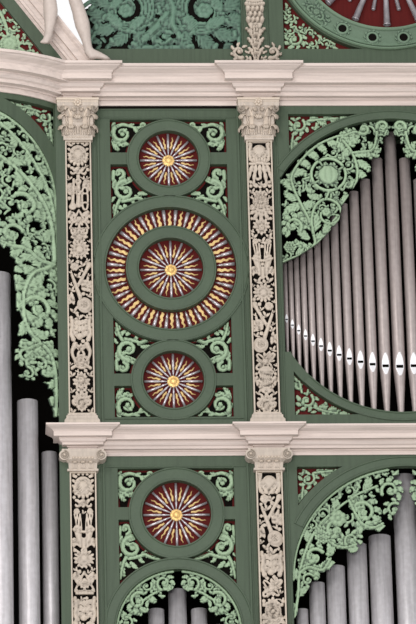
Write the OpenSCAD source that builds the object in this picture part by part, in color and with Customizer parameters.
// Front of a church pipe organ: two round towers, two rosette bays and a centre
// flat, in two storeys with a crown, on a plinth. Millimetres, +Z up, +X right,
// +Y into the case. The front plane is where the faces of the frames lie.

/* [Case] */
// Depth of the case behind the front plane
case_depth = 1150; // [900:10:1600]
// Thickness of the side and back walls
wall_t = 40; // [25:1:60]
// Height of the plinth, ground to pipe deck
plinth_h = 500; // [350:10:900]
// Thickness of the pipe deck and of its overhang
deck_t = 60; // [40:1:90]
// Thickness of the roof boards
roof_t = 30; // [20:1:50]

/* [Storeys] */
// Lower storey, pipe deck to lower cornice
lower_h = 2557; // [2400:1:2900]
// Upper storey, lower cornice to upper cornice
upper_h = 2450; // [2420:1:2600]
// Height of the lower cornice
lower_cornice_h = 175; // [140:1:210]
// Projection of the lower cornice
lower_cornice_p = 162; // [120:1:200]
// Height of the upper cornice
upper_cornice_h = 235; // [180:1:260]
// Projection of the upper cornice
upper_cornice_p = 222; // [160:1:240]

/* [Frames] */
// Thickness of the posts
post_t = 100; // [80:1:140]
// Thickness of the pierced front panels
panel_t = 50; // [35:1:70]
// Thickness of the red boards behind the carvings
board_t = 20; // [12:1:30]
// Depth of the carvings
carving_t = 34; // [20:1:40]
// Clearance of a carving in its opening
carving_gap = 0.4; // [0.2:0.1:0.8]

/* [Pilasters] */
// Width of a pilaster shaft
pilaster_w = 182; // [150:1:200]
// Thickness of a pilaster shaft
pilaster_t = 50; // [35:1:70]
// Height of the Corinthian capitals of the upper storey
upper_capital_h = 306; // [260:1:340]
// Height of the Ionic capitals of the lower storey
lower_capital_h = 147; // [130:1:180]
// Height of a pilaster base
base_h = 119; // [90:1:140]

/* [Centre flat] */
// Half width of the opening of the centre flat
flat_half = 808; // [780:1:840]
// Jamb between that opening and the pilaster
flat_jamb = 51; // [40:1:80]
// Radius of the upper flat's arch
flat_arch_r = 940; // [900:1:1000]
// Height of the curved sill's lowest point above the lower cornice
flat_sill_z = 139; // [120:1:170]
// Height of the sill's ledges at the jambs above the lower cornice
flat_ledge_z = 588; // [540:1:620]
// Radius of the curved sill under the upper flat's pipes
flat_sill_r = 890; // [860:1:920]
// Width of the rib along the upper arch and the sill
flat_rib_w = 64; // [50:1:80]
// Width of the rib along the lower arch
lower_rib_w = 112; // [90:1:130]
// Pipes on each side of the middle pipe, upper flat
upper_flat_pairs = 13; // [9:1:13]
// Pipes on each side of the middle pipe, lower flat
lower_flat_pairs = 5; // [3:1:5]

/* [Rosette bays] */
// Half width of the pierced panel of a rosette bay
rosette_half = 549; // [530:1:580]
// Half width of its pierced field
rosette_field = 412; // [400:1:430]
// Height of the big ring's centre above the lower cornice
big_ring_z = 1218; // [1200:1:1240]
// Distance from the big ring's centre to the small rosettes
rosette_pitch = 831; // [800:1:840]
// Radius of the red field of a small rosette
small_red_r = 212; // [190:1:225]
// Radius of the red field inside the big ring
mid_red_r = 226; // [200:1:240]
// Inner radius of the flame ring
flame_in_r = 317; // [300:1:330]
// Outer radius of the flame ring
flame_out_r = 458; // [430:1:470]
// Outer radius of the big ring's moulding
big_ring_r = 553; // [545:1:560]
// Outer radius of a small rosette's moulding
small_ring_r = 297; // [285:1:310]
// Radius of the lower rosette's red field
low_red_r = 237; // [215:1:250]
// Outer radius of the lower rosette's moulding
low_ring_r = 330; // [320:1:340]
// Half width of the arched opening under the lower rosette
bay_arch_r = 430; // [420:1:440]
// Silver pipes in a rosette
star_pipes = 16; // [8:1:20]
// Flames in the ring
ring_flames = 32; // [16:1:40]

/* [Towers] */
// Half width of a tower's opening
tower_half = 646; // [620:1:680]
// Jamb between that opening and the pilaster
tower_jamb = 67; // [50:1:90]
// Radius of the tower's bow in plan
bow_r = 1000; // [920:5:1100]
// Distance of the bow's ends in front of the front plane
bow_off = 45; // [30:1:60]
// Height of the tower arch's springing above the lower cornice
tower_spring_z = 1718; // [1650:1:1740]
// Outer radius of the rib round the tower arch
tower_rib_r = 745; // [720:1:770]

/* [Crown] */
// Width of the strips beside the roundel panel, behind the herms
herm_strip_w = 200; // [170:1:230]
// Width of a herm
herm_w = 131; // [110:1:150]
// Outer radius of the carved ring of the roundel
roundel_r = 800; // [760:1:810]
// Inner radius of that ring
roundel_in_r = 627; // [590:1:640]
// Height of the roundel's centre above the upper cornice
roundel_z = 999; // [950:1:1040]
// Height of the crown's top rail and cornice
crown_cornice_h = 150; // [120:1:180]
// Projection of the crown's cornice
crown_cornice_p = 120; // [90:1:150]
// Height of the rail under the openwork scrolls
scroll_rail_h = 210; // [160:1:240]
// Height of the openwork scrolls
scroll_h = 900; // [700:10:1100]
// Slope of a tower's gable, degrees
gable_slope = 54; // [48:1:58]
// How far the foot of a gable's raking cornice stands past the case's side
gable_over = 13; // [13:1:20]
// Width of the gable's raking moulding
rake_w = 170; // [120:1:190]

/* [Hidden] */

$fn = 96;
GREEN = [0.31, 0.40, 0.31];
PALE_GREEN = [0.62, 0.77, 0.62];
CREAM = [0.85, 0.79, 0.72];
DARK_RED = [0.31, 0.06, 0.06];
TIN = [0.66, 0.62, 0.61];
GOLD = [0.85, 0.66, 0.32];

// Heights of the storeys
deck_z = plinth_h;
lower_top = deck_z + lower_h;
upper_z = lower_top + lower_cornice_h;
upper_top = upper_z + upper_h;
crown_z = upper_top + upper_cornice_h;
frame_top = crown_z - roof_t;
ring_z = upper_z + big_ring_z;

// Places of the bays across the front
centre_pil_x = flat_half + flat_jamb + pilaster_w / 2;
panel_in_x = flat_half + flat_jamb + pilaster_w;
rosette_x = panel_in_x + rosette_half;
panel_out_x = rosette_x + rosette_half;
inner_pil_x = panel_out_x + pilaster_w / 2;
tower_in_x = panel_out_x + pilaster_w + tower_jamb;
tower_x = tower_in_x + tower_half;
tower_out_x = tower_x + tower_half;
outer_pil_x = tower_out_x + tower_jamb + pilaster_w / 2;
corner_margin = 40;
case_x = outer_pil_x + pilaster_w / 2 + corner_margin;
gable_half = case_x - tower_x + gable_over;

// The tower's bow: half angle, the centre's distance behind the front plane, and its front
bow_a = asin(tower_half / bow_r);
bow_cy = bow_r * cos(bow_a) - bow_off;
head_t = panel_t;
roof_bow_r = bow_r - head_t;
model_front = bow_r + upper_cornice_p - bow_cy;
front_y = -(case_depth - model_front) / 2;

// Lower rosette bay and its arch
low_rosette_z = lower_top - 413;
bay_rib_r = bay_arch_r + 82;
bay_spring_z = low_rosette_z - low_ring_r - bay_rib_r + 10;
rail_top = 102;
rail_bottom = 112;
rail_lower = 88;
stub_h = 90;
lower_field = rosette_field - 12;

// Centre flat
upper_arch_cz = upper_top - 99 - flat_arch_r;
sill_cz = upper_z + flat_sill_z + flat_sill_r;
sill_ledge_z = upper_z + flat_ledge_z;
sill_ledge_w = 40;
rack_back = 2.6 * post_t;
rack_drop = 45;
corner_in = 74;
corner_top = 61;
lower_arch_cz = lower_top - 82 - flat_half;
tower_spring = upper_z + tower_spring_z;

// Crown
roundel_cz = crown_z + roundel_z;
crown_top = roundel_cz + roundel_r + 60;
herm_x = centre_pil_x;
crown_half = herm_x - herm_strip_w / 2;
herm_t = 60;
gable_h = gable_half * tan(gable_slope);
gable_y = -105;
gable_t = 40;
rake_t = 100;

// Depths behind and before the front plane
pipe_front_y = post_t + 8;
carving_y = panel_t - carving_t;
seat = 0.3;
blunt = 15;

module place() {
  translate([0, front_y, 0]) children();
}

module both_sides() {
  children();
  mirror([1, 0, 0]) children();
}

// Extrudes a drawing of X across and Z up, from depth y back over length t.
module plate(y, t) {
  translate([0, y + t, 0]) rotate([90, 0, 0]) linear_extrude(t) children();
}

// A rectangle by its corners.
module field(x0, z0, x1, z1) {
  translate([x0, z0]) square([x1 - x0, z1 - z0]);
}

module ring2d(r_out, r_in) {
  difference() {
    circle(r_out);
    circle(r_in);
  }
}

// Points of a cornice's section, projection first, for a height of 1 and a projection of 1.
function wave(p0, z0, p1, z1, steps = 4) = [for (i = [0:steps])
  [p0 + (p1 - p0) * (1 - cos(180 * i / steps)) / 2, z0 + (z1 - z0) * i / steps]];
function arc_out(p0, z0, p1, z1, steps = 3) = [for (i = [0:steps])
  [p0 + (p1 - p0) * sin(90 * i / steps), z0 + (z1 - z0) * (1 - cos(90 * i / steps))]];
UNIT_CORNICE = concat(
  [[0.05, 0], [0.05, 0.16], [0.11, 0.16], [0.11, 0.21], [0.31, 0.21], [0.31, 0.30]],
  arc_out(0.33, 0.32, 0.43, 0.46), [[0.45, 0.46], [0.45, 0.50], [0.67, 0.50], [0.67, 0.70]],
  wave(0.70, 0.73, 0.95, 0.91), [[1, 0.91], [1, 1]]);
function section(unit, h, p) = [for (q = unit) [q[0] * p, q[1] * h]];

// A moulding of that section along X, from x0 to x1, its back on the plane y = 0.
module run_x(profile, x0, x1, back = 0) {
  translate([x0, 0, 0]) rotate([90, 0, 90]) linear_extrude(x1 - x0)
    polygon(concat([[back, 0]], [for (q = profile) [-q[0], q[1]]], [[back, profile[len(profile) - 1][1]]]));
}

// The same moulding mitred round three sides of a block of width w and thickness t.
module mitred_block(profile, w, t) {
  top = profile[len(profile) - 1][1];
  intersection() {
    run_x([for (q = profile) [q[0] + t, q[1]]], -2 * w, 2 * w);
    rotate([90, 0, 0]) linear_extrude(4 * w)
      polygon(concat([for (q = profile) [w / 2 + q[0], q[1]]],
                     [for (i = [len(profile) - 1:-1:0]) [-w / 2 - profile[i][0], profile[i][1]]]));
  }
}

// The same moulding turned round the bow of a tower, over its half angle a.
module bow_moulding(profile, a, r0) {
  translate([tower_x, bow_cy, 0]) rotate([0, 0, -90 - a]) rotate_extrude(angle = 2 * a, $fn = 180)
    polygon(concat([[r0, 0]], [for (q = profile) [bow_r + q[0], q[1]]], [[r0, profile[len(profile) - 1][1]]]));
}

// A wall round the bow between two radii.
module bow_wall(r_in, r_out, z0, z1, a = bow_a) {
  translate([tower_x, bow_cy, z0]) rotate([0, 0, -90 - a]) rotate_extrude(angle = 2 * a, $fn = 180)
    translate([r_in, 0]) square([r_out - r_in, z1 - z0]);
}

// Plan of the case with its two bows of radius r, made larger all round by grow.
module case_plan(grow, front = 0, r = bow_r) {
  half = r * sin(bow_a);
  translate([-case_x - grow, -front - grow]) square([2 * (case_x + grow), case_depth + front + grow]);
  both_sides() intersection() {
    translate([tower_x, bow_cy]) circle(r + grow, $fn = 180);
    translate([tower_x - half - grow, -bow_r]) square([2 * (half + grow), bow_r]);
  }
}

module plinth() {
  foot_h = 90;
  cap_h = 50;
  wall_h = plinth_h - deck_t;
  color(GREEN) {
    linear_extrude(wall_h) difference() {
      case_plan(0, pilaster_t);
      translate([-case_x + wall_t, 0]) square([2 * (case_x - wall_t), case_depth - wall_t]);
      both_sides() intersection() {
        translate([tower_x, bow_cy]) circle(bow_r - wall_t, $fn = 180);
        translate([tower_x - tower_half + wall_t, -bow_r]) square([2 * (tower_half - wall_t), bow_r + wall_t]);
      }
    }
    linear_extrude(foot_h) difference() {
      case_plan(28, pilaster_t);
      case_plan(-1, pilaster_t);
      translate([-case_x - 100, case_depth - 1]) square([2 * case_x + 200, 100]);
    }
    translate([0, 0, wall_h - cap_h]) linear_extrude(cap_h) difference() {
      case_plan(18, pilaster_t);
      case_plan(-1, pilaster_t);
      translate([-case_x - 100, case_depth - 1]) square([2 * case_x + 200, 100]);
    }
  }
}

module pipe_deck() {
  color(CREAM) translate([0, 0, plinth_h - deck_t]) linear_extrude(deck_t) difference() {
    case_plan(40, pilaster_t);
    translate([-case_x - 100, case_depth]) square([2 * case_x + 200, 100]);
  }
}

module panel_recess(w, h) {
  depth = 12;
  translate([-w / 2, -0.01, 0]) cube([w, depth, h]);
}

module side_walls() {
  length = case_depth - post_t - wall_t;
  margin = 110;
  color(GREEN) both_sides() difference() {
    translate([case_x - wall_t, post_t, deck_z]) cube([wall_t, length, frame_top - deck_z]);
    for (span = [[deck_z, lower_top], [upper_z, upper_top]], k = [0:1])
      translate([case_x, post_t + length * (1 + 2 * k) / 4, span[0] + margin]) rotate([0, 0, 90])
        panel_recess(length / 2 - margin, span[1] - span[0] - 2 * margin);
  }
}

module back_wall() {
  margin = 110;
  bays = [[-tower_x, tower_half], [-rosette_x, rosette_half], [0, flat_half],
          [rosette_x, rosette_half], [tower_x, tower_half]];
  color(GREEN) difference() {
    translate([-case_x, case_depth - wall_t, deck_z]) cube([2 * case_x, wall_t, frame_top - deck_z]);
    for (bay = bays, span = [[deck_z, lower_top], [upper_z, upper_top]])
      translate([bay[0], case_depth, span[0] + margin]) rotate([0, 0, 180])
        panel_recess(2 * bay[1] - margin, span[1] - span[0] - 2 * margin);
  }
}

module roof_boards() {
  color(GREEN) translate([0, 0, frame_top]) linear_extrude(roof_t) case_plan(0, 0, roof_bow_r);
}

module front_posts() {
  color(GREEN) both_sides() {
    for (span = [[flat_half, panel_in_x], [panel_out_x, tower_in_x], [tower_out_x, case_x]])
      translate([span[0], 0, deck_z]) cube([span[1] - span[0], post_t, frame_top - deck_z]);
  }
}

// The strips that carry a tower's bowed head, in front of the posts, scribed to the
// bases, capitals and cornices that return past the pilasters
module tower_jambs() {
  color(GREEN) both_sides() difference() {
    for (x = [tower_in_x - tower_jamb, tower_out_x])
      translate([x, -bow_off, deck_z]) cube([tower_jamb, bow_off, upper_top - deck_z]);
    for (x = [inner_pil_x, outer_pil_x]) translate([x, 0, 0]) {
      for (z = [deck_z, upper_z]) translate([0, 0, z]) pilaster_base();
      translate([0, 0, upper_top + block_rise - upper_capital_h]) upper_capital();
      translate([0, 0, lower_top + block_rise - lower_capital_h]) lower_capital();
      translate([0, 0, lower_top]) cornice_block(lower_cornice_h, lower_cornice_p);
      translate([0, 0, upper_top]) cornice_block(upper_cornice_h, upper_cornice_p);
    }
  }
}

// The field of the upper rosette panel that is pierced, with the corners left open
module upper_corners() {
  difference() {
    field(-rosette_field, upper_z + rail_bottom, rosette_field, upper_top - rail_top);
    translate([0, ring_z]) circle(big_ring_r);
    for (s = [-1, 1]) translate([0, ring_z + s * rosette_pitch]) {
      circle(small_ring_r);
      square([2 * rosette_field + 2, stub_h], center = true);
    }
  }
}

module rosette_panels_upper() {
  color(GREEN) both_sides() translate([rosette_x, 0, 0]) {
    plate(0, panel_t) difference() {
      field(-rosette_half, upper_z, rosette_half, frame_top);
      upper_corners();
      translate([0, ring_z]) circle(flame_out_r);
      for (s = [-1, 1]) translate([0, ring_z + s * rosette_pitch]) circle(small_red_r);
    }
    plate(0, panel_t) translate([0, ring_z]) ring2d(flame_in_r, mid_red_r);
  }
}

module lower_corners() {
  difference() {
    field(-lower_field, bay_spring_z, lower_field, lower_top - rail_lower);
    translate([0, bay_spring_z]) circle(bay_rib_r);
    translate([0, low_rosette_z]) {
      circle(low_ring_r);
      square([2 * rosette_field + 2, stub_h], center = true);
    }
  }
}

module rosette_panels_lower() {
  color(GREEN) both_sides() translate([rosette_x, 0, 0]) plate(0, panel_t) difference() {
    field(-rosette_half, deck_z, rosette_half, upper_z);
    lower_corners();
    translate([0, low_rosette_z]) circle(low_red_r);
    translate([0, bay_spring_z]) circle(bay_arch_r);
    field(-bay_arch_r, deck_z - 1, bay_arch_r, bay_spring_z);
  }
}

// Left top corner opening of the upper flat
module flat_top_corner() {
  difference() {
    field(-flat_half + corner_in, upper_arch_cz, -60, upper_top - corner_top);
    translate([0, upper_arch_cz]) circle(flat_arch_r + flat_rib_w);
  }
}

module centre_arch_upper() {
  color(GREEN) plate(0, panel_t) difference() {
    field(-flat_half, upper_arch_cz + sqrt(pow(flat_arch_r, 2) - pow(flat_half, 2)) + blunt, flat_half, frame_top);
    translate([0, upper_arch_cz]) circle(flat_arch_r);
    both_sides() flat_top_corner();
  }
}

module flat_bottom_corner() {
  difference() {
    field(-flat_half + corner_in - 20, upper_z + 124, -60, sill_cz);
    translate([0, sill_cz]) circle(flat_sill_r + flat_rib_w);
  }
}

// Front plate of the curved sill, and the rack behind it that the pipes stand on
module centre_sill_upper() {
  color(GREEN) plate(0, panel_t) difference() {
    field(-flat_half, upper_z, flat_half, sill_ledge_z);
    translate([0, sill_cz]) intersection() {
      circle(flat_sill_r);
      field(-flat_half + sill_ledge_w, -flat_sill_r, flat_half - sill_ledge_w, flat_sill_r);
    }
    both_sides() flat_bottom_corner();
  }
  color(GREEN) plate(post_t, rack_back - post_t) difference() {
    field(-flat_half - 40, upper_z, flat_half + 40, sill_ledge_z - rack_drop);
    translate([0, sill_cz - rack_drop]) circle(flat_sill_r);
  }
}

module lower_top_corner() {
  difference() {
    field(-flat_half + corner_in - 20, lower_arch_cz, -60, lower_top - 82);
    translate([0, lower_arch_cz]) circle(flat_half + lower_rib_w);
  }
}

module centre_arch_lower() {
  color(GREEN) plate(0, panel_t) difference() {
    field(-flat_half, lower_arch_cz + 3 * blunt, flat_half, upper_z);
    translate([0, lower_arch_cz]) circle(flat_half);
    both_sides() lower_top_corner();
  }
}

// Right corner opening of a tower's head, as a drawing
module tower_corner() {
  difference() {
    translate([tower_x, 0]) field(140, tower_spring, tower_half - 14, upper_top - 42);
    translate([tower_x, tower_spring]) circle(tower_rib_r);
  }
}

module tower_corners() {
  tower_corner();
  translate([2 * tower_x, 0]) mirror([1, 0]) tower_corner();
}

// Bowed arch head of a tower, cut flush with the jambs
module tower_heads() {
  wide_a = asin(tower_half / (bow_r - head_t)) + 1;
  color(GREEN) both_sides() intersection() {
    bow_wall(bow_r - head_t, bow_r, tower_spring, upper_top, wide_a);
    plate(-bow_r, bow_r + 100) difference() {
      translate([tower_x, 0]) field(-tower_half, tower_spring + 3 * blunt, tower_half, upper_top + 1);
      translate([tower_x, tower_spring]) circle(tower_half);
      tower_corners();
    }
  }
}

module red_boards() {
  color(DARK_RED) {
    both_sides() translate([rosette_x, 0, 0]) {
      plate(panel_t, board_t) field(-rosette_half, upper_z, rosette_half, frame_top);
      plate(panel_t, board_t) difference() {
        field(-rosette_half, bay_spring_z, rosette_half, upper_z);
        translate([0, bay_spring_z]) circle(bay_arch_r + 20);
      }
    }
    plate(panel_t, board_t) difference() {
      field(-flat_half, upper_arch_cz + sqrt(pow(flat_arch_r + 20, 2) - pow(flat_half, 2)) + blunt,
            flat_half, frame_top);
      translate([0, upper_arch_cz]) circle(flat_arch_r + 20);
    }
    plate(panel_t, board_t) difference() {
      field(-flat_half, upper_z, flat_half, sill_ledge_z - 30);
      translate([0, sill_cz]) circle(flat_sill_r + 20);
    }
    plate(panel_t, board_t) difference() {
      field(-flat_half, lower_arch_cz + 20, flat_half, upper_z);
      translate([0, lower_arch_cz]) circle(flat_half + 20);
    }
  }
}

module tower_red_boards() {
  color(DARK_RED) both_sides() difference() {
    bow_wall(bow_r - head_t - board_t, bow_r - head_t, tower_spring + 200, upper_top);
    plate(-bow_r, bow_r + 200) translate([tower_x, tower_spring]) circle(tower_half + 20);
  }
}

LOWER_SECTION = section(UNIT_CORNICE, lower_cornice_h, lower_cornice_p);
UPPER_SECTION = section(UNIT_CORNICE, upper_cornice_h, upper_cornice_p);
block_rise = 22;
capital_p = 62;
upper_abacus_p = 0.88 * capital_p;
lower_abacus_p = 0.85 * capital_p;

// Room for the tops of the capitals in the underside of a cornice
module capital_notches(return_p) {
  half = pilaster_w / 2 + return_p;
  both_sides() for (x = [centre_pil_x, inner_pil_x, outer_pil_x])
    translate([x - half, -pilaster_t - return_p, -1]) cube([2 * half, pilaster_t + return_p, block_rise + 1]);
}

// Cornice over a pilaster: the same section, lower edge raised to the capital's top
module cornice_block(h, p) {
  translate([0, 0, block_rise]) mitred_block(section(UNIT_CORNICE, h - block_rise, p), pilaster_w, pilaster_t);
}

module side_return(profile, length) {
  translate([case_x, length, 0]) rotate([90, 0, 0]) linear_extrude(length + 1)
    polygon(concat([[0, 0]], profile, [[0, profile[len(profile) - 1][1]]]));
}

module lower_cornice() {
  color(CREAM) translate([0, 0, lower_top]) difference() {
    lower_cornice_runs();
    capital_notches(lower_abacus_p);
  }
}

module lower_cornice_runs() {
    run_x(LOWER_SECTION, -inner_pil_x, inner_pil_x);
    both_sides() {
      for (x = [centre_pil_x, inner_pil_x, outer_pil_x])
        translate([x, 0, 0]) cornice_block(lower_cornice_h, lower_cornice_p);
      run_x(LOWER_SECTION, outer_pil_x - 1, case_x);
      mirror_corner(LOWER_SECTION, lower_cornice_h);
      side_return(LOWER_SECTION, case_depth);
    }
}

// Square corner where the front run meets the side return
module mirror_corner(profile, h) {
  intersection() {
    run_x(profile, case_x - 1, case_x + 400);
    rotate([90, 0, 0]) linear_extrude(600)
      polygon(concat([[case_x - 1, 0]], [for (q = profile) [case_x + q[0], q[1]]], [[case_x - 1, h]]));
  }
}

module upper_cornice() {
  color(CREAM) translate([0, 0, upper_top]) difference() {
    upper_cornice_runs();
    capital_notches(upper_abacus_p);
  }
}

module upper_cornice_runs() {
    run_x(UPPER_SECTION, -inner_pil_x, inner_pil_x);
    both_sides() {
      for (x = [centre_pil_x, inner_pil_x, outer_pil_x])
        translate([x, 0, 0]) cornice_block(upper_cornice_h, upper_cornice_p);
      run_x(UPPER_SECTION, outer_pil_x - 1, case_x);
      mirror_corner(UPPER_SECTION, upper_cornice_h);
      side_return(UPPER_SECTION, case_depth);
      bow_moulding(UPPER_SECTION, bow_a, roof_bow_r);
      bow_end_blocks();
    }
}

// Fillings between the ends of the bowed cornice and the blocks over the pilasters
module bow_end_blocks() {
  for (x = [tower_in_x - tower_jamb - 1, tower_out_x - tower_jamb])
    translate([x, -bow_off - 1, 0]) cube([2 * tower_jamb + 1, bow_off + 1, upper_cornice_h]);
}

// Pierced shaft: medallions down the middle, with openings round each of them
module shaft(h) {
  modules = 7;
  step = h / modules;
  rim = 16;
  slot_w = 26;
  hole_r = 24;
  plate(-pilaster_t, pilaster_t) difference() {
    field(-pilaster_w / 2, 0, pilaster_w / 2, h);
    for (k = [0:modules - 1]) translate([0, (k + 0.5) * step]) {
      for (sx = [-1, 1], sz = [-1, 1])
        translate([sx * (pilaster_w / 2 - rim - slot_w), sz * step * 0.3]) circle(hole_r, $fn = 6);
    }
    for (k = [1:modules - 1]) translate([0, k * step]) circle(hole_r, $fn = 8);
  }
}

module each_pilaster() {
  both_sides() for (x = [centre_pil_x, inner_pil_x, outer_pil_x]) translate([x, 0, 0]) children();
}

module pilaster_shafts_upper() {
  color(CREAM) each_pilaster() translate([0, 0, upper_z + base_h])
    shaft(upper_h + block_rise - upper_capital_h - base_h);
}

module pilaster_shafts_lower() {
  color(CREAM) each_pilaster() translate([0, 0, deck_z + base_h])
    shaft(lower_h + block_rise - lower_capital_h - base_h);
}

// Corinthian capital: astragal, spreading bell and abacus
module upper_capital() {
  h = upper_capital_h;
  bell = [[0.19, 0], [0.19, 0.11], [0.05, 0.11], [0.08, 0.30], [0.30, 0.42], [0.26, 0.46], [0.42, 0.70],
          [0.72, 0.77], [0.88, 0.80], [0.88, 1]];
  mitred_block(section(bell, h, capital_p), pilaster_w, pilaster_t);
}

module capitals_upper() {
  color(CREAM) each_pilaster() translate([0, 0, upper_top + block_rise - upper_capital_h]) upper_capital();
}

// Ionic capital: neck, echinus and a pair of volutes
module lower_capital() {
  h = lower_capital_h;
  volute_r = 36;
  neck = [[0.25, 0], [0.25, 0.10], [0.08, 0.10], [0.12, 0.40], [0.60, 0.52], [0.60, 0.62], [0.85, 0.90],
          [0.85, 1]];
  mitred_block(section(neck, h, capital_p), pilaster_w, pilaster_t);
  for (s = [-1, 1]) translate([s * (pilaster_w / 2 + 36), -pilaster_t - 52, h - volute_r - 8])
    rotate([-90, 0, 0]) cylinder(r = volute_r, h = pilaster_t + 40);
}

module capitals_lower() {
  color(CREAM) each_pilaster() translate([0, 0, lower_top + block_rise - lower_capital_h]) lower_capital();
}

module pilaster_base() {
  foot = [[1, 0], [1, 0.35], [0.8, 0.42], [0.8, 0.55], [0.45, 0.72], [0.45, 0.85], [0.2, 0.92], [0.2, 1]];
  mitred_block(section(foot, base_h, 38), pilaster_w, pilaster_t);
}

module pilaster_bases() {
  color(CREAM) each_pilaster() for (z = [deck_z, upper_z]) translate([0, 0, z]) pilaster_base();
}

function toe_radius(d) = d * 0.13 + 4;

// Front pipe standing on its toe: foot, flue mouth and body, axis on +Z
module flue_pipe(d, foot, body) {
  toe_r = toe_radius(d);
  mouth_h = d * 0.24;
  difference() {
    rotate_extrude($fn = 48) polygon([[0, 0], [toe_r, 0], [d / 2, foot], [d / 2, foot + body], [0, foot + body]]);
    translate([-d * 0.34, -d / 2 - 1, foot]) cube([d * 0.68, d * 0.16 + 1, mouth_h]);
  }
}

// Upper flat: widths shrink by a constant ratio from the middle pipe outwards
flat_ratio = 0.92;
function flat_pitch(i) = flat_half * 0.1225 * pow(flat_ratio, i);
function flat_pipe_x(i) = i == 0 ? 0 : flat_pipe_x(i - 1) + flat_pitch(i - 1);
function flat_pipe_d(i) = 0.87 * flat_pitch(i);
mouth_arc_r = 1034;
function flat_mouth_z(x) = sill_cz - flat_sill_r + 370 + mouth_arc_r - sqrt(pow(mouth_arc_r, 2) - pow(x, 2));
FLAT_TOPS = [2298, 2098, 1936, 1843, 1748, 1650, 1565, 1490, 1430, 1380, 1345, 1318, 1303, 1293];

function rack_z(x) = min(sill_ledge_z - rack_drop,
  x > flat_sill_r ? crown_z : sill_cz - rack_drop - sqrt(pow(flat_sill_r, 2) - pow(x, 2)));

module centre_pipes_upper() {
  color(TIN) for (i = [0:upper_flat_pairs], s = (i == 0) ? [1] : [-1, 1]) {
    x = flat_pipe_x(i);
    d = flat_pipe_d(i);
    z0 = rack_z(x + toe_radius(d)) + seat;
    translate([s * x, pipe_front_y + d / 2, z0])
      flue_pipe(d, flat_mouth_z(x) - z0, upper_z + FLAT_TOPS[i] - flat_mouth_z(x));
  }
}

// Lower flat: distance from the middle, diameter and height of the top above the deck
LOW_FLAT = [[0, 160, 2460], [183, 156, 2020], [345, 140, 1960], [497, 132, 1800], [630, 112, 1680], [738, 84, 1490]];

module centre_pipes_lower() {
  color(TIN) for (i = [0:lower_flat_pairs], s = (i == 0) ? [1] : [-1, 1]) {
    pipe = LOW_FLAT[i];
    foot = 560 + pow(pipe[0] / 60, 2);
    translate([s * pipe[0], pipe_front_y + pipe[1] / 2, deck_z + seat])
      flue_pipe(pipe[1], foot, pipe[2] - foot);
  }
}

// Rosette bay: distance from the bay's middle, diameter and height of the top above the deck
BAY_PIPES = [[0, 128, 1640], [147, 112, 1500], [274, 96, 1380], [376, 72, 1240]];

module rosette_bay_pipes() {
  color(TIN) both_sides() translate([rosette_x, 0, 0])
    for (i = [0:len(BAY_PIPES) - 1], s = (i == 0) ? [1] : [-1, 1]) {
      pipe = BAY_PIPES[i];
      foot = 430 + pow(pipe[0] / 36, 2);
      translate([s * pipe[0], pipe_front_y + pipe[1] / 2, deck_z + seat])
        flue_pipe(pipe[1], foot, pipe[2] - foot);
    }
}

// Tower: distance from the tower's middle, diameter and height of the top above the deck
TOWER_PIPES = [[0, 196, 4250], [236, 170, 3870], [430, 146, 2965], [580, 114, 2629]];
pipe_bow_r = bow_r - head_t - 130;
function pipe_bow_y(x) = bow_cy - sqrt(pow(pipe_bow_r, 2) - pow(x, 2));

module tower_pipes() {
  color(TIN) both_sides() translate([tower_x, 0, 0])
    for (i = [0:len(TOWER_PIPES) - 1], s = (i == 0) ? [1] : [-1, 1]) {
      pipe = TOWER_PIPES[i];
      foot = 720 + pow(pipe[0] / 40, 2);
      translate([s * pipe[0], pipe_bow_y(pipe[0]), deck_z + seat])
        rotate([0, 0, s * asin(pipe[0] / pipe_bow_r)]) flue_pipe(pipe[1], foot, pipe[2] - foot);
    }
}

// Outline of the left pipe shade of the upper flat: x from the middle, z above the lower cornice
SHADE_UPPER = [[-900, 1270], [-632, 1345], [-465, 1488], [-368, 1625], [-300, 1740], [-224, 1892], [-150, 2000],
               [-60, 2150], [-22, 2260], [-22, 2500], [-900, 2500]];
SHADE_UPPER_EYES = [[-690, 1470, 34], [-560, 1620, 40], [-700, 1800, 30], [-450, 2010, 46], [-600, 1990, 34],
                    [-330, 2150, 40], [-220, 2230, 28]];

module shade_eyes(eyes) {
  for (e = eyes) translate([e[0], e[1]]) circle(e[2], $fn = 8);
}

module centre_shades_upper() {
  color(PALE_GREEN) both_sides() plate(panel_t - carving_t - 4, carving_t) difference() {
    intersection() {
      translate([0, upper_z]) polygon(SHADE_UPPER);
      translate([0, upper_arch_cz]) circle(flat_arch_r - carving_gap);
      field(-flat_half + carving_gap, upper_z, 0, crown_z);
    }
    translate([0, upper_z]) shade_eyes(SHADE_UPPER_EYES);
  }
}

// Left pipe shade of the lower flat: z above the deck
SHADE_LOWER = [[-900, 1380], [-780, 1440], [-720, 1640], [-640, 1650], [-560, 1890], [-460, 1800], [-300, 1960],
               [-200, 2020], [-90, 2200], [-40, 2330], [-60, 2600], [-900, 2600]];
SHADE_LOWER_EYES = [[-700, 1760, 32], [-650, 1950, 40], [-520, 2080, 44], [-400, 2000, 34], [-380, 2230, 44],
                    [-240, 2200, 40], [-190, 2360, 30]];

module centre_shades_lower() {
  color(PALE_GREEN) both_sides() plate(panel_t - carving_t - 4, carving_t) difference() {
    intersection() {
      translate([0, deck_z]) polygon(SHADE_LOWER);
      union() {
        translate([0, lower_arch_cz]) circle(flat_half - carving_gap);
        field(-flat_half + carving_gap, deck_z, 0, lower_arch_cz);
      }
    }
    translate([0, deck_z]) shade_eyes(SHADE_LOWER_EYES);
  }
}

// Left pipe shade of the arched opening in a rosette bay: z above the springing
SHADE_BAY = [[-500, -240], [-380, -180], [-330, 0], [-230, 120], [-150, 210], [-60, 280], [-24, 330], [-24, 500],
             [-500, 500]];

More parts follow.
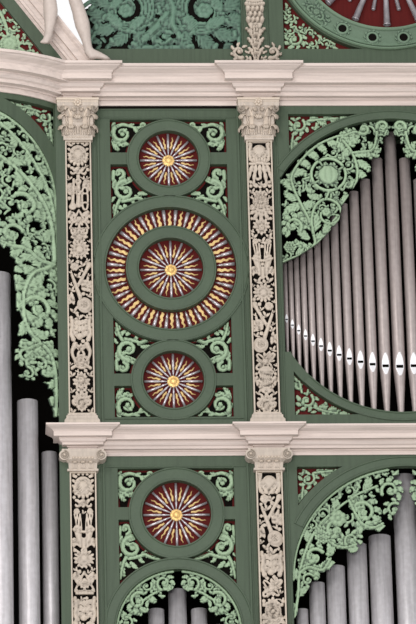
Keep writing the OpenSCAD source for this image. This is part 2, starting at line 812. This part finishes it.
module rosette_bay_shades() {
  color(PALE_GREEN) both_sides() translate([rosette_x, 0, 0]) both_sides()
    plate(panel_t - carving_t - 4, carving_t) translate([0, bay_spring_z]) difference() {
      intersection() {
        polygon(SHADE_BAY);
        union() {
          circle(bay_arch_r - carving_gap);
          field(-bay_arch_r + carving_gap, -600, 0, 0);
        }
      }
      for (a = [112, 135, 160]) rotate(a) translate([bay_arch_r * 0.8, 0]) circle(26, $fn = 8);
    }
}

// Pipe shade of a tower, right side of its opening, on the bow: z above the lower cornice
SHADE_TOWER = [[24, 2500], [24, 1560], [150, 1450], [250, 1235], [352, 1225], [352, 330], [500, 320], [575, 320],
               [590, 90], [700, 90], [700, 2500]];
SHADE_TOWER_EYES = [[560, 700, 34], [470, 860, 40], [520, 1050, 36], [400, 1330, 46], [540, 1450, 40],
                    [300, 1600, 50], [470, 1750, 44], [200, 1900, 50], [380, 2020, 36], [480, 500, 36]];
shade_in = 8;

module tower_shade() {
  intersection() {
    bow_wall(bow_r - shade_in - carving_t, bow_r - shade_in, upper_z, upper_top);
    plate(-bow_r, bow_r + 200) translate([tower_x, 0]) difference() {
      intersection() {
        translate([0, upper_z]) polygon(SHADE_TOWER);
        union() {
          translate([0, tower_spring]) circle(tower_half - carving_gap);
          field(0, upper_z, tower_half - carving_gap, tower_spring);
        }
      }
      translate([0, upper_z]) shade_eyes(SHADE_TOWER_EYES);
    }
  }
}

module tower_shades() {
  color(PALE_GREEN) both_sides() {
    tower_shade();
    translate([2 * tower_x, 0, 0]) mirror([1, 0, 0]) tower_shade();
  }
}

module rosette_carvings_upper() {
  leaf_gap = 8;
  color(PALE_GREEN) both_sides() translate([rosette_x, 0, 0])
    plate(panel_t - carving_t, carving_t) difference() {
      field(-rosette_field + leaf_gap, upper_z + rail_bottom + leaf_gap, rosette_field - leaf_gap, upper_top - rail_top - leaf_gap);
      translate([0, ring_z]) circle(big_ring_r + leaf_gap);
      field(-leaf_gap * 12, upper_z, leaf_gap * 12, upper_top);
      for (s = [-1, 1]) translate([0, ring_z + s * rosette_pitch]) {
        circle(small_ring_r + leaf_gap);
        square([2 * rosette_field, stub_h + 2 * leaf_gap], center = true);
      }
      for (sx = [-1, 1], sz = [-1, 1]) translate([sx * 300, ring_z + sz * rosette_pitch]) {
        translate([sx * 40, sz * 170]) circle(26, $fn = 8);
        translate([sx * 50, -sz * 180]) circle(26, $fn = 8);
      }
    }
}

module rosette_carvings_lower() {
  leaf_gap = 8;
  color(PALE_GREEN) both_sides() translate([rosette_x, 0, 0])
    plate(panel_t - carving_t, carving_t) difference() {
      field(-lower_field + leaf_gap, bay_spring_z, lower_field - leaf_gap, lower_top - rail_lower - leaf_gap);
      translate([0, bay_spring_z]) circle(bay_rib_r + leaf_gap);
      field(-leaf_gap * 14, bay_spring_z, leaf_gap * 14, lower_top);
      translate([0, low_rosette_z]) {
        circle(low_ring_r + leaf_gap);
        square([2 * rosette_field, stub_h + 2 * leaf_gap], center = true);
      }
      for (sx = [-1, 1]) translate([sx * 330, low_rosette_z]) {
        translate([0, 200]) circle(26, $fn = 8);
        translate([0, -170]) circle(26, $fn = 8);
      }
    }
}

module centre_corner_carvings() {
  leaf_gap = 10;
  color(PALE_GREEN) both_sides() {
    plate(panel_t - carving_t, carving_t) difference() {
      field(-flat_half + corner_in + leaf_gap, upper_arch_cz, -300, upper_top - corner_top - leaf_gap);
      translate([0, upper_arch_cz]) circle(flat_arch_r + flat_rib_w + leaf_gap);
    }
    plate(panel_t - carving_t, carving_t) difference() {
      field(-flat_half + corner_in - 20 + leaf_gap, upper_z + 124 + leaf_gap, -330, sill_cz);
      translate([0, sill_cz]) circle(flat_sill_r + flat_rib_w + leaf_gap);
    }
    plate(panel_t - carving_t, carving_t) difference() {
      field(-flat_half + corner_in - 20 + leaf_gap, lower_arch_cz, -440, lower_top - 82 - leaf_gap);
      translate([0, lower_arch_cz]) circle(flat_half + lower_rib_w + leaf_gap);
    }
  }
}

module tower_corner_carving() {
  leaf_gap = 10;
  intersection() {
    bow_wall(bow_r - head_t, bow_r - head_t + carving_t, tower_spring, upper_top);
    plate(-bow_r, bow_r + 200) difference() {
      translate([tower_x, 0]) field(240, tower_spring, tower_half - 14 - leaf_gap, upper_top - 42 - leaf_gap);
      translate([tower_x, tower_spring]) circle(tower_rib_r + leaf_gap);
    }
  }
}

module tower_corner_carvings() {
  color(PALE_GREEN) both_sides() {
    tower_corner_carving();
    translate([2 * tower_x, 0, 0]) mirror([1, 0, 0]) tower_corner_carving();
  }
}

// Rosettes of the front: place in the bay, radius of the silver star
ROSETTES = [[ring_z + rosette_pitch, small_red_r - 10], [ring_z, mid_red_r - 10],
            [ring_z - rosette_pitch, small_red_r - 10], [low_rosette_z, low_red_r - 8]];
hub_r = 44;
star_pipe_r = 8;
gable_star_r = 150;
gable_star_z = crown_z + 330;

module each_rosette() {
  both_sides() translate([rosette_x, panel_t, 0]) for (r = ROSETTES) translate([0, 0, r[0]]) children();
}

// One little pipe laid along +Z from the hub: foot, then body
module star_pipe(r_end) {
  foot_end = r_end * 0.42;
  translate([0, -star_pipe_r - seat, 0]) {
    translate([0, 0, hub_r + seat]) cylinder(r1 = 3, r2 = star_pipe_r, h = foot_end - hub_r - seat, $fn = 24);
    translate([0, 0, foot_end]) cylinder(r = star_pipe_r, h = r_end - foot_end, $fn = 24);
  }
}

// One little pipe of the flame ring, wide end outwards
module ring_pipe() {
  translate([0, -11 - seat, flame_in_r + 8]) cylinder(r1 = 6, r2 = 11, h = flame_out_r - flame_in_r - 20, $fn = 24);
}

// A waving flame from radius r0 to r1, w wide at its root
module flame(r0, r1, w) {
  n = 5;
  function side(t, s) = [s * w / 2 * (1 - 0.8 * t) + w * 0.2 * sin(360 * 1.5 * t), r0 + (r1 - r0) * t];
  plate(-6, 6) polygon(concat([for (i = [0:n]) side(i / n, -1)], [for (i = [n:-1:0]) side(i / n, 1)]));
}

module rosette_pipes() {
  color(TIN) both_sides() translate([rosette_x, panel_t, 0]) {
    for (r = ROSETTES, k = [0:star_pipes - 1]) translate([0, 0, r[0]]) rotate([0, k * 360 / star_pipes, 0])
      star_pipe(r[1]);
    for (k = [0:ring_flames - 1]) translate([0, 0, ring_z]) rotate([0, (k + 0.5) * 360 / ring_flames, 0])
      ring_pipe();
  }
  color(TIN) both_sides() translate([tower_x, gable_y, gable_star_z]) for (k = [0:star_pipes - 1])
    rotate([0, k * 360 / star_pipes, 0]) star_pipe(gable_star_r);
}

module rosette_flames() {
  color(GOLD) both_sides() translate([rosette_x, panel_t, 0]) {
    for (r = ROSETTES, k = [0:star_pipes - 1]) translate([0, 0, r[0]])
      rotate([0, (k + 0.5) * 360 / star_pipes, 0]) flame(r[1] * 0.58, r[1] * 0.97, 16);
    for (k = [0:ring_flames - 1]) translate([0, 0, ring_z]) rotate([0, k * 360 / ring_flames, 0])
      flame(flame_in_r + 2, flame_out_r - 4, 26);
  }
}

module rosette_hubs() {
  hub_t = 22;
  color(GOLD) {
    each_rosette() rotate([90, 0, 0]) cylinder(r = hub_r, h = hub_t);
    both_sides() translate([tower_x, gable_y, gable_star_z]) rotate([90, 0, 0]) cylinder(r = hub_r, h = hub_t);
    translate([0, panel_t, roundel_cz]) rotate([90, 0, 0]) cylinder(r = big_hub_r, h = panel_t);
  }
}

// Half width and half height of the square that the spandrels of the roundel reach
spandrel_x = crown_half - 103;
spandrel_z = roundel_r - 10;

// One spandrel drawn in the quarter (sx, sz), its sides moved in by gap
module spandrel(sx, sz, gap) {
  scale([sx, sz]) difference() {
    square([spandrel_x - gap, spandrel_z - gap]);
    circle(roundel_r + 10 + gap);
  }
}

// Crown: square panel round the roundel, its red board, and the carved ring on it
module crown_panel() {
  color(GREEN) plate(0, panel_t) difference() {
    field(-crown_half, crown_z, crown_half, crown_top);
    translate([0, roundel_cz]) circle(roundel_in_r);
    for (sx = [-1, 1], sz = [-1, 1]) translate([0, roundel_cz]) spandrel(sx, sz, 0);
  }
  color(DARK_RED) plate(panel_t, board_t) field(-crown_half, crown_z, crown_half, crown_top);
}

module roundel_ring() {
  color(PALE_GREEN) translate([0, 0, roundel_cz]) rotate([90, 0, 0]) rotate_extrude($fn = 180)
    polygon([[roundel_in_r, 0], [roundel_r, 0], [roundel_r, 14], [roundel_r - 22, 34], [roundel_in_r + 26, 34],
             [roundel_in_r, 22]]);
}

big_hub_r = 90;

module roundel_pipes() {
  pairs = 16;
  horn_z = big_hub_r + 2;
  horn_h = roundel_in_r - horn_z - 35;
  color(TIN) translate([0, panel_t, roundel_cz]) for (k = [0:pairs - 1]) {
    rotate([0, k * 360 / pairs, 0]) translate([0, -24 - seat, horn_z])
      cylinder(r1 = 9, r2 = 24, h = horn_h, $fn = 24);
    rotate([0, (k + 0.5) * 360 / pairs, 0]) translate([0, -17 - seat, horn_z + horn_h * 0.12])
      cylinder(r1 = 7, r2 = 17, h = horn_h * 0.68, $fn = 24);
  }
}

module crown_corner_carvings() {
  leaf_gap = 10;
  color(PALE_GREEN) plate(panel_t - carving_t, carving_t) for (sx = [-1, 1], sz = [-1, 1])
    translate([0, roundel_cz]) intersection() {
      spandrel(sx, sz, leaf_gap);
      scale([sx, sz]) translate([spandrel_x * 0.48, spandrel_z * 0.48]) square(spandrel_z);
    }
}

module crown_cornice() {
  profile = section(UNIT_CORNICE, crown_cornice_h, crown_cornice_p);
  back_w = herm_x + herm_strip_w / 2;
  color(CREAM) translate([0, 0, crown_top]) {
    run_x(profile, -back_w, back_w, panel_t + board_t);
    both_sides() {
      translate([herm_x, 0, 0]) mitred_block(profile, herm_w, herm_t);
      intersection() {
        run_x(profile, back_w - 1, back_w + 400, panel_t + board_t);
        rotate([90, 0, 0]) translate([0, 0, -case_depth]) linear_extrude(2 * case_depth)
          polygon(concat([[0, 0]], [for (q = profile) [back_w + q[0], q[1]]], [[0, crown_cornice_h]]));
      }
    }
  }
}

// Green strip beside the roundel panel with a tapering leafy herm before it
module herms() {
  h = crown_top - crown_z;
  foot_w = herm_w * 0.4;
  head_h = h * 0.13;
  bust = [[0, 0], [0.2, 0], [0.2, 0.15], [0.1, 0.2], [0.7, 0.8], [0.7, 1]];
  color(GREEN) both_sides() translate([crown_half, 0, crown_z]) cube([herm_strip_w, panel_t + board_t, h]);
  color(CREAM) both_sides() translate([herm_x, 0, crown_z]) {
    plate(-herm_t, herm_t) both_sides()
      polygon([[0, 0], [foot_w / 2, 0], [foot_w / 2, h * 0.02], [herm_w * 0.42, h * 0.12], [herm_w / 2, h * 0.19],
               [herm_w / 2, h - head_h], [0, h - head_h]]);
    translate([0, 0, h - head_h]) mitred_block(section(bust, head_h, 50), herm_w, herm_t);
  }
}

module scroll_rails() {
  x0 = herm_x + herm_strip_w / 2;
  x1 = tower_x - gable_half + 120;
  color(GREEN) both_sides() translate([x0, 0, crown_z]) cube([x1 - x0, panel_t, scroll_rail_h]);
}

// Opening of a scroll: a ring, crossed by the stem of the rosette in its middle
module scroll_eye(r_out, r_in) {
  difference() {
    ring2d(r_out, r_in);
    rotate(30) square([2 * r_out + 2, r_in * 0.6], center = true);
  }
}

// Openwork wing beside the roundel panel, falling in two curves towards the tower
module crown_scrolls() {
  x0 = herm_x + herm_strip_w / 2 + carving_gap;
  x1 = tower_x - gable_half + 100;
  w = x1 - x0;
  z0 = crown_z + scroll_rail_h;
  function edge(t) = scroll_h * (0.42 + 0.58 * pow(cos(90 * t), 1.4));
  color(PALE_GREEN) both_sides() plate(4, carving_t) difference() {
    translate([x0, z0]) polygon(concat([[w, 0], [0, 0]], [for (i = [0:12]) [w * i / 12, edge(i / 12)]]));
    translate([x0 + w * 0.27, z0 + scroll_h * 0.30]) scroll_eye(150, 70);
    translate([x0 + w * 0.74, z0 + scroll_h * 0.24]) scroll_eye(120, 56);
    translate([x0 + w * 0.50, z0 + scroll_h * 0.50]) circle(46, $fn = 8);
    translate([x0 + w * 0.16, z0 + scroll_h * 0.72]) circle(70, $fn = 8);
    translate([x0 + w * 0.50, z0 + scroll_h * 0.10]) circle(36, $fn = 8);
  }
}

// Tower gable: boards, raking mouldings and carvings
module gable_triangle(d) {
  apex = gable_h - d / cos(gable_slope);
  half = gable_half - d / sin(gable_slope);
  polygon([[-half, 0], [half, 0], [0, apex]]);
}

module gable_boards() {
  color(GREEN) both_sides() translate([tower_x, 0, crown_z]) plate(gable_y, gable_t) gable_triangle(rake_w * 0.06);
}

// Raking cornice: the same section along both slopes, cut level at the foot and upright at the top
module gable_mouldings() {
  run = gable_half / cos(gable_slope);
  color(CREAM) both_sides() translate([tower_x, gable_y, crown_z]) both_sides() intersection() {
    translate([-gable_half + rake_w * sin(gable_slope), 0, -rake_w * cos(gable_slope)]) rotate([0, -gable_slope, 0])
      run_x(section(UNIT_CORNICE, rake_w, rake_t), -rake_w, run + rake_w);
    translate([-gable_half - rake_t, -rake_t, 0]) cube([gable_half + rake_t, rake_t, gable_h]);
  }
}

module gable_carvings() {
  color(PALE_GREEN) both_sides() translate([tower_x, 0, crown_z]) plate(gable_y - 24, 24) difference() {
    gable_triangle(rake_w + 60);
    translate([0, gable_star_z - crown_z]) circle(gable_star_r + 60);
    field(-90, -1, 90, gable_star_z - crown_z);
    field(-gable_half, -1, gable_half, 60);
  }
}

// Tapering limb between two joints, its ends carried on past them
module limb(a, b, ra, rb, past = 12) {
  v = b - a;
  length = norm(v);
  translate(a) rotate([0, acos(v[2] / length), atan2(v[1], v[0])]) translate([0, 0, -past])
    cylinder(r1 = ra, r2 = rb, h = length + 2 * past, $fn = 8);
}

// Standing figure beside a gable: distance from the tower's middle, depth, height above the cornice.
// One foot is flat on the cornice, the other on its toes against the raking moulding.
LEGS = [[[[1040, -243, 22], [900, -243, 40], 20, 36], [[878, -243, 25], [884, -243, 90], 38, 34],
         [[884, -243, 75], [839, -241, 300], 33, 56], [[839, -241, 300], [789, -245, 490], 56, 50],
         [[789, -245, 490], [745, -236, 860], 56, 86]],
        [[[572, -290, 125], [600, -278, 200], 24, 34], [[600, -278, 190], [600, -276, 380], 33, 54],
         [[600, -276, 380], [604, -286, 540], 54, 50], [[604, -286, 540], [660, -240, 870], 56, 86]]];
BODY = [[[702, -238, 750], [704, -236, 1010], 158, 112], [[704, -236, 1000], [704, -240, 1290], 106, 148],
        [[704, -240, 1290], [704, -240, 1390], 148, 60], [[704, -242, 1380], [704, -246, 1470], 46, 44],
        [[704, -250, 1470], [704, -252, 1560], 60, 84], [[704, -252, 1560], [704, -250, 1660], 84, 52]];
ARMS = [[[[820, -240, 1340], [900, -250, 1110], 50, 40], [[900, -250, 1110], [1010, -290, 1230], 40, 28],
         [[1010, -290, 1230], [1040, -300, 1310], 30, 24]],
        [[[588, -240, 1340], [520, -235, 1110], 50, 40], [[520, -235, 1110], [500, -270, 900], 40, 28],
         [[500, -270, 900], [498, -276, 820], 30, 22]]];

module statues() {
  color(CREAM) both_sides() translate([tower_x, 0, crown_z]) both_sides() intersection() {
    union() for (group = concat(LEGS, [BODY], ARMS), part = group) limb(part[0], part[1], part[2], part[3]);
    translate([0, -500, 0]) cube([gable_half * 2, 1000, gable_h * 2]);
  }
}

place() {
  plinth();
  pipe_deck();
  side_walls();
  back_wall();
  roof_boards();
  front_posts();
  tower_jambs();
  rosette_panels_upper();
  rosette_panels_lower();
  centre_arch_upper();
  centre_sill_upper();
  centre_arch_lower();
  tower_heads();
  red_boards();
  tower_red_boards();
  lower_cornice();
  upper_cornice();
  pilaster_shafts_upper();
  pilaster_shafts_lower();
  capitals_upper();
  capitals_lower();
  pilaster_bases();
  tower_pipes();
  centre_pipes_upper();
  centre_pipes_lower();
  rosette_bay_pipes();
  tower_shades();
  centre_shades_upper();
  centre_shades_lower();
  rosette_bay_shades();
  rosette_carvings_upper();
  rosette_carvings_lower();
  centre_corner_carvings();
  tower_corner_carvings();
  rosette_pipes();
  rosette_flames();
  rosette_hubs();
  crown_panel();
  roundel_ring();
  roundel_pipes();
  crown_corner_carvings();
  crown_cornice();
  herms();
  scroll_rails();
  crown_scrolls();
  gable_boards();
  gable_mouldings();
  gable_carvings();
  statues();
}
